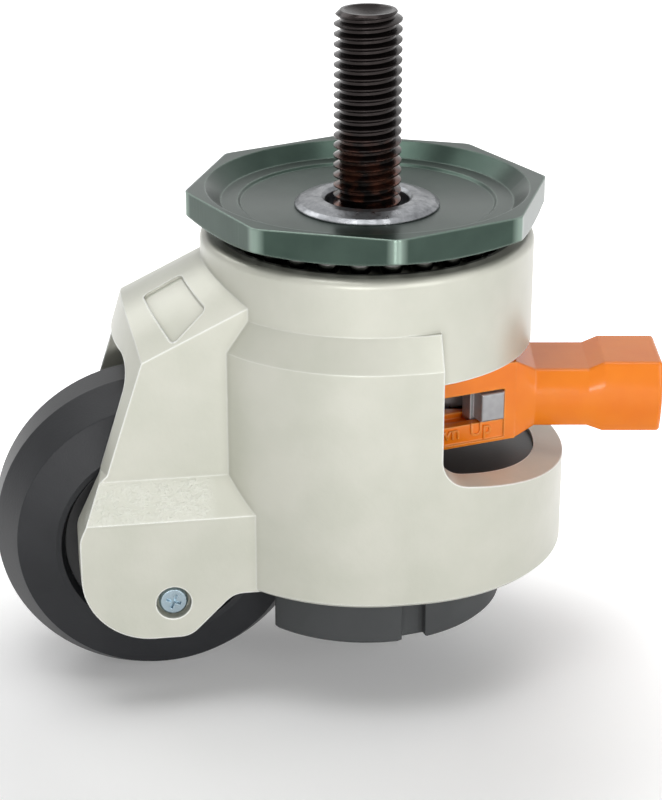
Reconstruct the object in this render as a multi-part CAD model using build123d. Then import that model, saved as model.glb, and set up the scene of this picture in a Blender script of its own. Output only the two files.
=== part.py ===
"""Levelling castor: a swivel castor with an M10 stem, a lever-worked ratchet and a foot pad.

Frame: +Z up along the stem, origin where the stem axis meets the top of the mounting plate.
The wheel trails towards -X and the lever leaves the housing towards +X. Millimetres.
"""
from build123d import *
import os
from math import cos, pi, radians, sin, tan

os.makedirs("parts", exist_ok=True)

# ---- driving dimensions -------------------------------------------------------------------
# clearances
RUNNING = 0.3            # between a turning piece and its housing
SLIDING = 0.1            # between a sliding piece and its guide
PRESSED = 0.02           # radial, between pieces of one body
CUT = 1.0                # how far a cutter stands past the face it cuts

# stem and mounting plate
STEM_R = 5.0
STEM_TOP = 26.0
STEM_CHAMFER = 0.9
STEM_SHOULDER = -1.0     # full diameter above this height, a little less in the kingpin
STEM_RELIEF = 0.8        # about the depth of the thread
STEM_DIMPLE_R = 3.3
STEM_DIMPLE_FLOOR_R = 0.6
STEM_DIMPLE = 1.2
PLATE_ACROSS_FLATS = 50.0
PLATE_THICK = 4.35
PLATE_CHAMFER_R = 24.8   # turned chamfer under the plate's corners, from this radius out
PLATE_CHAMFER = 20.0
PLATE_CORNER_R = 1.6
PLATE_ANGLE = -1.0
DISH_MOUTH_R = 24.0
DISH_FOOT_R = 21.7
DISH_DEPTH = 2.2
DISH_STEP_R = 19.2
DISH_STEP = 0.4
DISH_FALL = 0.5          # how far the dish floor falls from its step to the kingpin
PLATE_BELLY_R = 17.3
PLATE_BELLY = 1.5        # how far the pressed belly stands below the plate
PLATE_BELLY_EDGE = 0.8
STEM_PIN_R = 1.0
STEM_PIN_SINK = 0.2      # at each end, below the kingpin's face

# kingpin, its nut and the ball race
KINGPIN_R = 8.2
KINGPIN_FLANGE_R = 10.8
KINGPIN_FLANGE = 1.3
KINGPIN_FLANGE_RIM = 0.25
KINGPIN_FLANGE_STEP = 0.75
KINGPIN_FLANGE_SLOPE = 0.7
KINGPIN_MOUTH_R = 6.3
KINGPIN_MOUTH = 3.6
KINGPIN_MOUTH_EDGE = 0.5
KINGPIN_NUT_R = 11.0
KINGPIN_NUT = 3.6
KINGPIN_NUT_SLOTS = 4
KINGPIN_NUT_SLOT = 2.5
KINGPIN_NUT_SLOT_DEPTH = 1.2
KINGPIN_NUT_SLOT_HEIGHT = 2.2
KINGPIN_NUT_SINK = 1.9   # above the underside of the housing's deck
BALL_R = 2.0
BALL_COUNT = 28
BALL_CIRCLE_R = 19.8
BALL_SEAT = 0.1          # clearance between a ball and its groove
RACE_GAP = 2.25          # between the plate and the top of the housing
WASHER_THICK = 0.7
LEVER_WASHER = 1.1
WASHER_SEAT = 0.2        # shake of a washer in its stack
WASHER_STEP = 1.0        # from the kingpin nut out to the thrust washer

# housing
TURRET_R = 24.9
TURRET_EDGE_R = 1.2
DECK_THICK = 16.5        # from the turret's top to the lever slot
LEDGE_TOP = -15.0
BODY_TOP = -19.7
BODY_R = 27.5
BODY_STRETCH = 3.0       # the body is a circle drawn out this far towards the lever
BODY_WALL = 4.5
BODY_BOTTOM = -56.3
BODY_EDGE = 0.5
SLOT_EDGE_X = 6.4
SLOT_SILL = -37.3        # where the sloping bottom of the slot would meet its upright edge
SLOT_FALL = 11.3         # slope of that bottom, down towards the lever's end
SLOT_CORNER_R = 4.8
FLOOR_TOP = -46.0
FLOOR_THICK = 4.0
BOSS_R = 10.6
DUST_COVER_TOP = -41.9
DUST_COVER = 1.2
FLATS_HALF = 4.6         # half the distance across the lead screw's two flats

# fork
AXLE_X = -33.0
AXLE_Z = -51.4
AXLE_R = 4.0
AXLE_CHAMFER = 0.4
FORK_INNER = 12.3
FORK_OUTER = 15.0
FOOT_OUTER = 19.2        # outer face of the thicker lower half of each leg
RAMP_TOP = -38.8
RAMP_BOTTOM = -43.8
CROWN_SLOPE = 26.0
CROWN_X = -31.0
CROWN_Z = -12.95
CROWN_ARCH_R = 25.0
FRONT_R = 37.0           # the front faces are turned round the swivel axis: radius at FRONT_Z
FRONT_Z = -16.1
FRONT_LEAN = 16.7
FORK_NOSE_X = -40.0
FORK_NOSE_Z = -15.1
FORK_WAIST_X = -41.6
FORK_WAIST_Z = -37.8
FORK_TOE_X = -45.4
FORK_TOE_Z = -46.0
FORK_BOTTOM = -62.8
FORK_HEEL_X = -29.6
FORK_TOE_R = 10.5
FORK_WAIST_R = 4.0
FORK_HEEL_R = 3.6
ARCH_TOP = -21.3
ARCH_CORNER_R = 4.8
ARCH_END_X = -29.0
ARCH_BACK = 36.0         # angle round the wheel at which the arch runs into the round well
LABEL_INNER_R = 28.3     # the label recess is a piece of a ring round the stem axis
LABEL_OUTER_R = 34.0
LABEL_START = 5.0
LABEL_END = 25.5
LABEL_DEPTH = 0.4
LABEL_CORNER_R = 0.8
CARRIER_R = 8.5
CARRIER_THICK = 3.0
CARRIER_BOSS_R = 5.5
CARRIER_FACE = 0.6       # carrier left outside the axle's end
SCREW_X = -32.0
SCREW_DROP = 1.7         # the screw's axis stands this far below the axle
SCREW_LUG_R = 4.4
SCREW_R = 1.5
SCREW_HEAD_R = 2.15
SCREW_HEAD = 1.2
SCREW_HEAD_EDGE = 0.3
SCREW_CROSS = (2.3, 1.6, 0.5)
SCREW_CROSS_ANGLE = 20.0
SCREW_SINK_R = 2.6
SCREW_SINK = 1.7

# wheel
WHEEL_R = 24.2
TREAD_HALF = 3.0
SHOULDER_DROP = 2.9      # in from the tread
SHOULDER_HALF = 8.3
TYRE_FACE = 1.5          # flat of the side face, out from the bore
TYRE_FACE_HALF = 10.5
TYRE_BORE_R = 14.2
TYRE_LIP = 0.6
HUB_RIM_HALF = 8.8
HUB_RIM = 2.0
HUB_WEB_HALF = 3.6
HUB_BOSS_R = 10.4
BEARING_R = 8.0
BEARING_WIDTH = 4.8
BEARING_RACE = 1.0       # thickness of each ring's visible face
BEARING_SHIELD = 0.4     # how far the shield is set back
BEARING_OUT = 8.0        # from the wheel's middle to the outer face of a bearing
WHEEL_CLEAR = 1.0        # between the tread and the housing round it

# drive nut and ratchet gear
DRIVE_FLANGE_R = 13.6
DRIVE_FLANGE = 1.5
DRIVE_R = 7.5
DRIVE_BOTTOM = -41.7
GEAR_TIP_R = 10.5
GEAR_TOOTH = 1.2
GEAR_TOOTH_ROOT = 0.34   # half-widths of a tooth, as shares of the pitch
GEAR_TOOTH_TIP = 0.14
GEAR_TEETH = 18
GEAR_TOP = -28.2
GEAR_BOTTOM = -34.6

# lever
LEVER_ANGLE = -9.2
LEVER_TOP = -25.2
LEVER_BOTTOM = -37.5
HEAD_R = 16.0
HEAD_BACK_R = 12.5
HEAD_BACK_ANGLE = 100.0
HEAD_TAPER = 23.0
HEAD_END_X = 22.3
NECK_X = 25.4
NECK_TOP = -27.2
NECK_BOTTOM = -36.4
GRIP_X = 33.4
GRIP_FULL_X = 35.8
GRIP_TOP = -26.1
GRIP_BOTTOM = -37.3
LEVER_REACH = 44.5
ARM_HALF = 5.8
ARM_BULGE = 1.5
ROOT_BULGE = 0.1
ARM_EDGE_R = 0.7
GRIP_END_R = 0.6
HEAD_ROOF = 2.4
COVER_THICK = 1.5
COVER_LIP = 0.8
COVER_SCREW_ANGLE = 86.0
COVER_SCREW_CIRCLE_R = 13.4
COVER_SCREW_R = 1.0
COVER_SCREW_HEAD_R = 1.9
COVER_SCREW_LENGTH = 5.0
COVER_SCREW_HEAD = 0.9
COVER_SCREW_SLOT = 0.6
COVER_SCREW_LAND = 0.3   # cover left round a screw's head
PAWL_POCKET_END = 21.0
PAWL_POCKET_HALF = 4.6
PAWL_PIVOT_X = 17.4
PAWL_PIN_R = 1.2
PAWL_PIN_FLOOR = 0.5     # cover left under the pin
PAWL_HUB_R = 2.5
PAWL_NOSE_X = 12.2
PAWL_NOSE_Y = 2.9
PAWL_NOSE_R = 1.0
PAWL_STAND_OFF = 0.9     # between the gear's tips and the pawl in its middle position
PAWL_TILT = 6.0          # each way from the middle, as the selector pushes it

# selector in the lever's side window
WINDOW_TOP = -29.2
WINDOW_BOTTOM = -34.2
WINDOW_END = 15.6        # along the side of the head, from where its taper begins
WINDOW_DEPTH = 8.0
WINDOW_LIP = 1.9
PANEL_RIM = 0.5          # left standing under the recessed panel below the window
PANEL_DEPTH = 0.3
PANEL_START = 1.0
SELECTOR_GAP = 0.2       # to the window's end at each end of its travel
SELECTOR_WIDTH = 3.8
SELECTOR_PROUD = 0.5
SELECTOR_DEPTH = 4.8
SELECTOR_FLANGE = 0.9
SELECTOR_EDGE_R = 0.3
SELECTOR_TRAVEL = 7.5

# foot
LEAD_R = 5.5
LEAD_CHAMFER = 0.6
LEAD_ROOM = 0.5          # round the lead screw inside the kingpin
SPIGOT_STEP = 1.0        # the lead screw's spigot in the foot plate is this much less in radius
LEAD_TOP = -14.0
STEM_GAP = 1.2           # between the lead screw, wound right up, and the stem
FOOT_TOP = -54.0
FOOT_PLATE_R = 17.0
FOOT_PLATE = 3.0
FOOT_SCREW_R = 2.5
FOOT_SCREW_HEAD = 2.6
FOOT_SCREW_LENGTH = 12.0
FOOT_SCREW_SPARE = 0.5
FOOT_SCREW_HEX = 2.0
FOOT_SCREW_HEX_DEPTH = 1.8
PAD_R = 21.2
PAD_BOTTOM = -65.6
PAD_CORNER_R = 0.8
PAD_EDGE = 0.5
PAD_GROOVES = 4
PAD_GROOVE = 3.8
PAD_GROOVE_DEPTH = 1.5
PAD_GROOVE_ANGLE = -79.6

# ---- worked out from the dimensions above --------------------------------------------------
TURRET_TOP = -PLATE_THICK - RACE_GAP
BALL_Z = (TURRET_TOP - PLATE_THICK) / 2 - BALL_SEAT
DECK_BOTTOM = TURRET_TOP - DECK_THICK
DISH_FLOOR = -DISH_DEPTH - DISH_STEP - DISH_FALL
STEM_BOTTOM = LEAD_TOP + STEM_GAP
NUT_BOTTOM = DECK_BOTTOM + KINGPIN_NUT_SINK
NUT_TOP = NUT_BOTTOM + KINGPIN_NUT
KINGPIN_BOTTOM = NUT_BOTTOM - RUNNING
DRIVE_TOP = DECK_BOTTOM - RUNNING
CAVITY_R = BODY_R - BODY_WALL
WELL_R = WHEEL_R + WHEEL_CLEAR
GEAR_ROOT_R = GEAR_TIP_R - GEAR_TOOTH
GEAR_ROOM_R = GEAR_TIP_R + RUNNING
COVER_TOP = LEVER_BOTTOM + COVER_THICK
WINDOW_START = WINDOW_END - SELECTOR_WIDTH - SELECTOR_TRAVEL - 2 * SELECTOR_GAP
WASHER_TOP = LEVER_BOTTOM - WASHER_SEAT
BOSS_TOP = WASHER_TOP - LEVER_WASHER
FLOOR_BOTTOM = FLOOR_TOP - FLOOR_THICK
SCREW_Z = AXLE_Z - AXLE_R - SCREW_DROP
SHOULDER_R = WHEEL_R - SHOULDER_DROP
TYRE_FACE_R = TYRE_BORE_R + TYRE_FACE
FOOT_SCREW_HEAD_R = LEAD_R - SPIGOT_STEP - SLIDING
CARRIER_OUT = FORK_INNER + CARRIER_THICK + RUNNING
NOTCH_X = AXLE_X + WELL_R + RUNNING
PIN_Z = (STEM_BOTTOM - KINGPIN_MOUTH - KINGPIN_FLANGE) / 2


# ---- helpers -------------------------------------------------------------------------------
def rod(radius, bottom, top, x=0.0, y=0.0):
    """Upright cylinder between two heights."""
    return Pos(x, y, (bottom + top) / 2) * Cylinder(radius, top - bottom)


def block(x0, x1, y0, y1, z0, z1):
    """Box between two corners."""
    return Pos((x0 + x1) / 2, (y0 + y1) / 2, (z0 + z1) / 2) * Box(x1 - x0, y1 - y0, z1 - z0)


def turned(points):
    """Solid of revolution round Z from an outline of (radius, height) points."""
    return revolve(Plane.XZ * make_face(Polyline(points, close=True)), Axis.Z)


def stadium_plan(radius):
    """Plan of the body: a circle drawn out towards the lever."""
    plan = Circle(radius) + Pos(BODY_STRETCH, 0) * Circle(radius)
    return plan + Pos(BODY_STRETCH / 2, 0) * Rectangle(BODY_STRETCH, 2 * radius)


def stadium(radius, bottom, top):
    """Upright prism of the body's plan."""
    return extrude(Pos(0, 0, bottom) * stadium_plan(radius), top - bottom)


def across(radius, y0, y1, x=AXLE_X, z=AXLE_Z):
    """Cylinder lying along Y between two side planes."""
    return Pos(x, (y0 + y1) / 2, z) * Rot(90, 0, 0) * Cylinder(radius, y1 - y0)


def side_prism(face, y0, y1):
    """Extrude a face drawn in (X, Z) between two side planes."""
    return Pos(0, y1, 0) * extrude(Plane.XZ * face, y1 - y0)


def far_side(shape):
    """The same shape on the other side of the fork's middle plane."""
    return mirror(shape, Plane.XZ)


# ---- stem and plate ------------------------------------------------------------------------
def stem():
    body = rod(STEM_R, STEM_SHOULDER, STEM_TOP)
    body += rod(STEM_R - STEM_RELIEF, STEM_BOTTOM, STEM_SHOULDER)
    body = chamfer(body.edges().group_by(Axis.Z)[-1], STEM_CHAMFER)
    body = chamfer(body.edges().group_by(Axis.Z)[0], STEM_CHAMFER)
    dimple = Cone(STEM_DIMPLE_FLOOR_R, STEM_DIMPLE_R, STEM_DIMPLE)
    return body - Pos(0, 0, STEM_TOP) * dimple - stem_pin_hole()


def cross_pin(radius, length):
    return Pos(0, 0, PIN_Z) * Rot(0, 90, 0) * Cylinder(radius, length)


def stem_pin_hole():
    return cross_pin(STEM_PIN_R + PRESSED, 2 * KINGPIN_R + CUT)


def stem_pin():
    return cross_pin(STEM_PIN_R, 2 * (KINGPIN_R - STEM_PIN_SINK))


def race_groove():
    """Eight-sided ring that touches the balls at its flats, half in the plate, half in the housing."""
    section = RegularPolygon(BALL_R + BALL_SEAT, 8, major_radius=False, rotation=22.5)
    return revolve(Plane.XZ * Pos(BALL_CIRCLE_R, BALL_Z) * section, Axis.Z)


def top_plate():
    octagon = RegularPolygon(PLATE_ACROSS_FLATS / 2, 8, major_radius=False, rotation=PLATE_ANGLE)
    body = extrude(Pos(0, 0, -PLATE_THICK) * octagon, PLATE_THICK)
    body = fillet(body.edges().filter_by(Axis.Z), PLATE_CORNER_R)
    reach = PLATE_ACROSS_FLATS
    body &= turned([
        (0, 0),
        (reach, 0),
        (reach, (reach - PLATE_CHAMFER_R) * tan(radians(PLATE_CHAMFER)) - PLATE_THICK),
        (PLATE_CHAMFER_R, -PLATE_THICK),
        (0, -PLATE_THICK),
    ])
    belly_bottom = -PLATE_THICK - PLATE_BELLY
    belly = turned([
        (0, -DISH_DEPTH),
        (PLATE_BELLY_R, -DISH_DEPTH),
        (PLATE_BELLY_R, belly_bottom + PLATE_BELLY_EDGE),
        (PLATE_BELLY_R - PLATE_BELLY_EDGE, belly_bottom),
        (0, belly_bottom),
    ])
    dish = turned([
        (0, CUT),
        (DISH_MOUTH_R, CUT),
        (DISH_MOUTH_R, 0),
        (DISH_FOOT_R, -DISH_DEPTH),
        (DISH_STEP_R, -DISH_DEPTH),
        (DISH_STEP_R - DISH_STEP, -DISH_DEPTH - DISH_STEP),
        (KINGPIN_FLANGE_R, DISH_FLOOR),
        (0, DISH_FLOOR),
    ])
    body = body + belly - dish - race_groove()
    return body - rod(KINGPIN_R + PRESSED, belly_bottom - CUT, 0)


def kingpin():
    flange_top = DISH_FLOOR + KINGPIN_FLANGE
    mouth_bottom = -KINGPIN_MOUTH - KINGPIN_FLANGE
    body = turned([
        (KINGPIN_MOUTH_R, mouth_bottom),
        (KINGPIN_MOUTH_R, flange_top - KINGPIN_MOUTH_EDGE),
        (KINGPIN_MOUTH_R + KINGPIN_MOUTH_EDGE, flange_top),
        (KINGPIN_R, flange_top),
        (KINGPIN_FLANGE_R - KINGPIN_FLANGE_SLOPE, DISH_FLOOR + KINGPIN_FLANGE_STEP),
        (KINGPIN_FLANGE_R, DISH_FLOOR + KINGPIN_FLANGE_RIM),
        (KINGPIN_FLANGE_R, DISH_FLOOR),
        (KINGPIN_R, DISH_FLOOR),
        (KINGPIN_R, KINGPIN_BOTTOM),
        (LEAD_R + LEAD_ROOM, KINGPIN_BOTTOM),
        (LEAD_R + LEAD_ROOM, STEM_BOTTOM),
        (STEM_R - STEM_RELIEF + PRESSED, STEM_BOTTOM),
        (STEM_R - STEM_RELIEF + PRESSED, mouth_bottom),
    ])
    return body - stem_pin_hole()


def kingpin_nut():
    body = rod(KINGPIN_NUT_R, NUT_BOTTOM, NUT_TOP) - rod(KINGPIN_R + PRESSED, NUT_BOTTOM, NUT_TOP)
    for turn in range(KINGPIN_NUT_SLOTS):
        notch = block(KINGPIN_NUT_R - KINGPIN_NUT_SLOT_DEPTH, KINGPIN_NUT_R + CUT,
                      -KINGPIN_NUT_SLOT / 2, KINGPIN_NUT_SLOT / 2,
                      NUT_BOTTOM - CUT, NUT_BOTTOM + KINGPIN_NUT_SLOT_HEIGHT)
        body -= Rot(0, 0, 360 * turn / KINGPIN_NUT_SLOTS) * notch
    return body


def balls():
    """The swivel race: separate balls, one beside the next."""
    race = []
    for index in range(BALL_COUNT):
        turn = Rot(0, 0, 360 * index / BALL_COUNT)
        race.append(turn * Pos(BALL_CIRCLE_R, 0, BALL_Z) * Sphere(BALL_R))
    return Compound(race)


def ring(inner, outer, bottom, top):
    return rod(outer, bottom, top) - rod(inner, bottom - CUT, top + CUT)


def swivel_washer():
    return ring(KINGPIN_R + RUNNING, KINGPIN_NUT_R, NUT_TOP + PRESSED, NUT_TOP + WASHER_THICK)


def thrust_washer():
    return ring(KINGPIN_NUT_R + WASHER_STEP, DRIVE_FLANGE_R, DECK_BOTTOM - WASHER_SEAT,
                DECK_BOTTOM + WASHER_THICK)


def lever_washer():
    return ring(DRIVE_R + RUNNING, BOSS_R, BOSS_TOP, WASHER_TOP)


# ---- housing -------------------------------------------------------------------------------
def leg_outline():
    """Side view of a leg in (X, Z): nose, waist, toe, heel and back up to the body."""
    inside = -BODY_R / 2
    ridge_inside = CROWN_Z + (inside - CROWN_X) * tan(radians(CROWN_SLOPE))
    step_x = FORK_HEEL_X + (BODY_BOTTOM - FORK_BOTTOM)
    corners = [
        (inside, ridge_inside),
        (FORK_NOSE_X, FORK_NOSE_Z + CUT),
        (FORK_NOSE_X, FORK_NOSE_Z),
        (FORK_WAIST_X, FORK_WAIST_Z),
        (FORK_TOE_X, FORK_TOE_Z),
        (FORK_TOE_X, FORK_BOTTOM),
        (FORK_HEEL_X, FORK_BOTTOM),
        (step_x, BODY_BOTTOM),
        (inside, BODY_BOTTOM),
    ]
    radii = [0, 0, 0, FORK_WAIST_R, FORK_WAIST_R, FORK_TOE_R, FORK_HEEL_R, FORK_HEEL_R, 0]
    return make_face(FilletPolyline(corners, radius=radii, close=True))


def leg_section():
    """Front view of both legs in (Y, Z): narrow above the ramp, wider below it."""
    return make_face(Polyline([
        (-FORK_OUTER, 0),
        (-FORK_OUTER, RAMP_TOP),
        (-FOOT_OUTER, RAMP_BOTTOM),
        (-FOOT_OUTER, FORK_BOTTOM - CUT),
        (FOOT_OUTER, FORK_BOTTOM - CUT),
        (FOOT_OUTER, RAMP_BOTTOM),
        (FORK_OUTER, RAMP_TOP),
        (FORK_OUTER, 0),
    ], close=True))


def crown_cylinder(radius):
    """Long cylinder down the slope of the crown, whose top line is the ridge at the arch radius."""
    ridge = Pos(CROWN_X, 0, CROWN_Z) * Rot(0, -CROWN_SLOPE, 0)
    return ridge * Pos(0, 0, -CROWN_ARCH_R) * Rot(0, 90, 0) * Cylinder(radius, 4 * BODY_R)


def front_envelope():
    """Turned shape round the swivel axis that the fork's front faces follow above the waist."""
    lean = tan(radians(FRONT_LEAN))
    waist_r = FRONT_R + (FRONT_Z - FORK_WAIST_Z) * lean
    far = -2 * FORK_TOE_X
    return turned([
        (0, 0),
        (FRONT_R + FRONT_Z * lean, 0),
        (waist_r, FORK_WAIST_Z),
        (far, FORK_WAIST_Z - (far - waist_r)),
        (0, FORK_WAIST_Z - (far - waist_r)),
    ])


def fork():
    blank = side_prism(leg_outline(), -FOOT_OUTER, FOOT_OUTER)
    blank &= Pos(FORK_TOE_X - CUT, 0, 0) * extrude(Plane.YZ * leg_section(), -FORK_TOE_X)
    middle = CROWN_Z - CROWN_ARCH_R
    top = TURRET_TOP - TURRET_EDGE_R
    crown = crown_cylinder(CROWN_ARCH_R)
    crown &= block(FORK_TOE_X - CUT, 0, -FOOT_OUTER, FOOT_OUTER, middle, top)
    below = block(FORK_TOE_X - CUT, 0, -FOOT_OUTER, FOOT_OUTER, FORK_BOTTOM - CUT, middle)
    return blank & (crown + below) & front_envelope()


def label_recess():
    """Shallow bare field on the near flank of the crown."""
    sector = Circle(LABEL_OUTER_R) - Circle(LABEL_INNER_R)
    reach = 2 * LABEL_OUTER_R
    start = radians(180 + LABEL_START)
    end = radians(180 + LABEL_END)
    sector &= make_face(Polyline([
        (0, 0),
        (reach * cos(start), reach * sin(start)),
        (reach * cos(end), reach * sin(end)),
    ], close=True))
    column = extrude(Pos(0, 0, BODY_TOP) * sector, -BODY_TOP)
    column = fillet(column.edges().filter_by(Axis.Z), LABEL_CORNER_R)
    return column & (crown_cylinder(CROWN_ARCH_R + CUT) - crown_cylinder(CROWN_ARCH_R - LABEL_DEPTH))


def wheel_well():
    """Room for the wheel: a round well, open to the front under the crown."""
    front = 2 * FORK_TOE_X
    back = radians(ARCH_BACK)
    arch = make_face(Polyline([
        (front, ARCH_TOP),
        (ARCH_END_X, ARCH_TOP),
        (AXLE_X + WELL_R * sin(back), AXLE_Z + WELL_R * cos(back)),
        (AXLE_X, AXLE_Z),
        (front, AXLE_Z),
    ], close=True))
    tunnel = side_prism(arch, -FORK_INNER, FORK_INNER)
    roof_edges = tunnel.edges().filter_by(Axis.X).group_by(Axis.Z)[-1]
    tunnel = fillet(roof_edges, ARCH_CORNER_R)
    return tunnel + across(WELL_R, -FORK_INNER, FORK_INNER)


def carrier_plan(margin):
    """Side view of an axle carrier: a round plate drawn down to its screw."""
    plate = Pos(AXLE_X, AXLE_Z) * Circle(CARRIER_R + margin)
    lug = Pos(SCREW_X, SCREW_Z) * Circle(SCREW_LUG_R + margin)
    return make_hull((plate + lug).edges())


def leg_cuts():
    """Pocket for the near axle carrier, with the holes for its screw."""
    cuts = side_prism(carrier_plan(PRESSED), -CARRIER_OUT, -FORK_INNER + CUT)
    cuts += across(SCREW_R + PRESSED, -FOOT_OUTER - CUT, -FORK_INNER, SCREW_X, SCREW_Z)
    cuts += across(SCREW_SINK_R, -FOOT_OUTER - CUT, -FOOT_OUTER + SCREW_SINK, SCREW_X, SCREW_Z)
    return cuts


def ledge():
    """Sloping ledge between the turret and the wider body."""
    top = Pos(0, 0, LEDGE_TOP) * stadium_plan(TURRET_R)
    bottom = Pos(0, 0, BODY_TOP) * stadium_plan(BODY_R)
    return loft([bottom, top], ruled=True)


def lever_slot():
    """Opening for the lever in the body, with the ledge cleared away above it."""
    far = 2 * BODY_R
    far_sill = SLOT_SILL - (far - SLOT_EDGE_X) * tan(radians(SLOT_FALL))
    corners = [(SLOT_EDGE_X, DECK_BOTTOM), (SLOT_EDGE_X, SLOT_SILL), (far, far_sill), (far, DECK_BOTTOM)]
    outline = make_face(FilletPolyline(corners, radius=[0, SLOT_CORNER_R, 0, 0], close=True))
    slot = side_prism(outline, -far, far)
    above = block(SLOT_EDGE_X, far, -far, far, DECK_BOTTOM - CUT, LEDGE_TOP + CUT)
    return slot + (above - rod(TURRET_R, DECK_BOTTOM - 2 * CUT, LEDGE_TOP + 2 * CUT))


def turret():
    body = rod(TURRET_R, BODY_TOP - CUT, TURRET_TOP)
    return fillet(body.edges().group_by(Axis.Z)[-1], TURRET_EDGE_R)


def deck_bores():
    """Bore for the kingpin, room for its nut and the seat of the thrust washer."""
    bores = rod(KINGPIN_R + RUNNING, DECK_BOTTOM - CUT, TURRET_TOP + CUT)
    bores += rod(KINGPIN_NUT_R + RUNNING, DECK_BOTTOM - CUT, NUT_TOP + WASHER_THICK)
    bores += rod(DRIVE_FLANGE_R + RUNNING, DECK_BOTTOM - CUT, DECK_BOTTOM + WASHER_THICK)
    return bores


def boss():
    """Boss on the floor: journal for the drive nut above, flat-sided guide for the screw below."""
    guide = rod(LEAD_R + SLIDING, FLOOR_BOTTOM - CUT, DRIVE_BOTTOM)
    guide &= block(-LEAD_R - CUT, LEAD_R + CUT, -FLATS_HALF - SLIDING, FLATS_HALF + SLIDING,
                   FLOOR_BOTTOM - CUT, DRIVE_BOTTOM)
    journal = rod(DRIVE_R + RUNNING, DRIVE_BOTTOM - RUNNING, BOSS_TOP + CUT)
    return rod(BOSS_R, FLOOR_BOTTOM, BOSS_TOP) - wheel_well(), guide + journal


def housing():
    outside = stadium(BODY_R, BODY_BOTTOM, BODY_TOP)
    outside = chamfer(outside.edges().group_by(Axis.Z)[0], BODY_EDGE)
    outside += ledge() + turret() + fork()
    inside = stadium(CAVITY_R, FLOOR_TOP, DECK_BOTTOM)
    inside += stadium(CAVITY_R, BODY_BOTTOM - CUT, FLOOR_BOTTOM)
    solid = outside - inside - lever_slot() - wheel_well() - deck_bores() - race_groove()
    post, bore = boss()
    solid = solid + post - bore - leg_cuts() - far_side(leg_cuts())
    return solid - label_recess()


def dust_cover():
    """Black cup over the housing's floor, under the lever, open on the wheel's side."""
    cup = stadium(CAVITY_R - PRESSED, FLOOR_TOP, DUST_COVER_TOP)
    cup -= stadium(CAVITY_R - DUST_COVER, FLOOR_TOP - CUT, DUST_COVER_TOP - DUST_COVER)
    cup -= rod(BOSS_R + PRESSED, FLOOR_TOP - CUT, DUST_COVER_TOP + CUT)
    return cup - wheel_notch(FLOOR_TOP - CUT, DUST_COVER_TOP + CUT)


# ---- axle and wheel ------------------------------------------------------------------------
def axle():
    end = CARRIER_OUT - CARRIER_FACE - PRESSED
    body = across(AXLE_R, -end, end)
    return chamfer(body.edges().filter_by(GeomType.CIRCLE), AXLE_CHAMFER)


def axle_carrier():
    """Near carrier: plate in the leg's pocket, boss against the bearing, bore for the axle."""
    body = side_prism(carrier_plan(0), -CARRIER_OUT + PRESSED, -FORK_INNER - RUNNING)
    body += across(CARRIER_BOSS_R, -FORK_INNER - CUT, -BEARING_OUT - RUNNING)
    body -= across(AXLE_R + PRESSED, -CARRIER_OUT + CARRIER_FACE, 0)
    return body - across(SCREW_R + PRESSED, -CARRIER_OUT - CUT, -FORK_INNER, SCREW_X, SCREW_Z)


def axle_screw():
    """Near screw, with a cross recess in its head."""
    seat = -FOOT_OUTER + SCREW_SINK
    head = across(SCREW_HEAD_R, seat - SCREW_HEAD, seat, SCREW_X, SCREW_Z)
    head = chamfer(head.edges().filter_by(GeomType.CIRCLE).group_by(Axis.Y)[0], SCREW_HEAD_EDGE)
    body = head + across(SCREW_R, seat, -FORK_INNER - 2 * RUNNING, SCREW_X, SCREW_Z)
    for turn in (0, 90):
        wing = Rot(0, SCREW_CROSS_ANGLE + turn, 0) * Box(*SCREW_CROSS)
        body -= Pos(SCREW_X, seat - SCREW_HEAD, SCREW_Z) * wing
    return body


def on_axle(shape):
    """Place a wheel piece made round Z on the axle."""
    return Pos(AXLE_X, 0, AXLE_Z) * Rot(90, 0, 0) * shape


def tyre():
    profile = [
        (TYRE_BORE_R, -HUB_RIM_HALF),
        (TYRE_BORE_R + TYRE_LIP, -TYRE_FACE_HALF),
        (TYRE_FACE_R, -TYRE_FACE_HALF),
        (SHOULDER_R, -SHOULDER_HALF),
        (WHEEL_R, -TREAD_HALF),
        (WHEEL_R, TREAD_HALF),
        (SHOULDER_R, SHOULDER_HALF),
        (TYRE_FACE_R, TYRE_FACE_HALF),
        (TYRE_BORE_R + TYRE_LIP, TYRE_FACE_HALF),
        (TYRE_BORE_R, HUB_RIM_HALF),
    ]
    return on_axle(turned(profile))


def wheel_hub():
    rim_r = TYRE_BORE_R - PRESSED
    body = turned([
        (BEARING_R + PRESSED, -BEARING_OUT),
        (HUB_BOSS_R, -BEARING_OUT),
        (HUB_BOSS_R, -HUB_WEB_HALF),
        (rim_r - HUB_RIM, -HUB_WEB_HALF),
        (rim_r - HUB_RIM, -HUB_RIM_HALF),
        (rim_r, -HUB_RIM_HALF),
        (rim_r, HUB_RIM_HALF),
        (rim_r - HUB_RIM, HUB_RIM_HALF),
        (rim_r - HUB_RIM, HUB_WEB_HALF),
        (HUB_BOSS_R, HUB_WEB_HALF),
        (HUB_BOSS_R, BEARING_OUT),
        (BEARING_R + PRESSED, BEARING_OUT),
        (BEARING_R + PRESSED, BEARING_OUT - BEARING_WIDTH),
        (BEARING_R - BEARING_RACE, BEARING_OUT - BEARING_WIDTH),
        (BEARING_R - BEARING_RACE, BEARING_WIDTH - BEARING_OUT),
        (BEARING_R + PRESSED, BEARING_WIDTH - BEARING_OUT),
    ])
    return on_axle(body)


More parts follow.
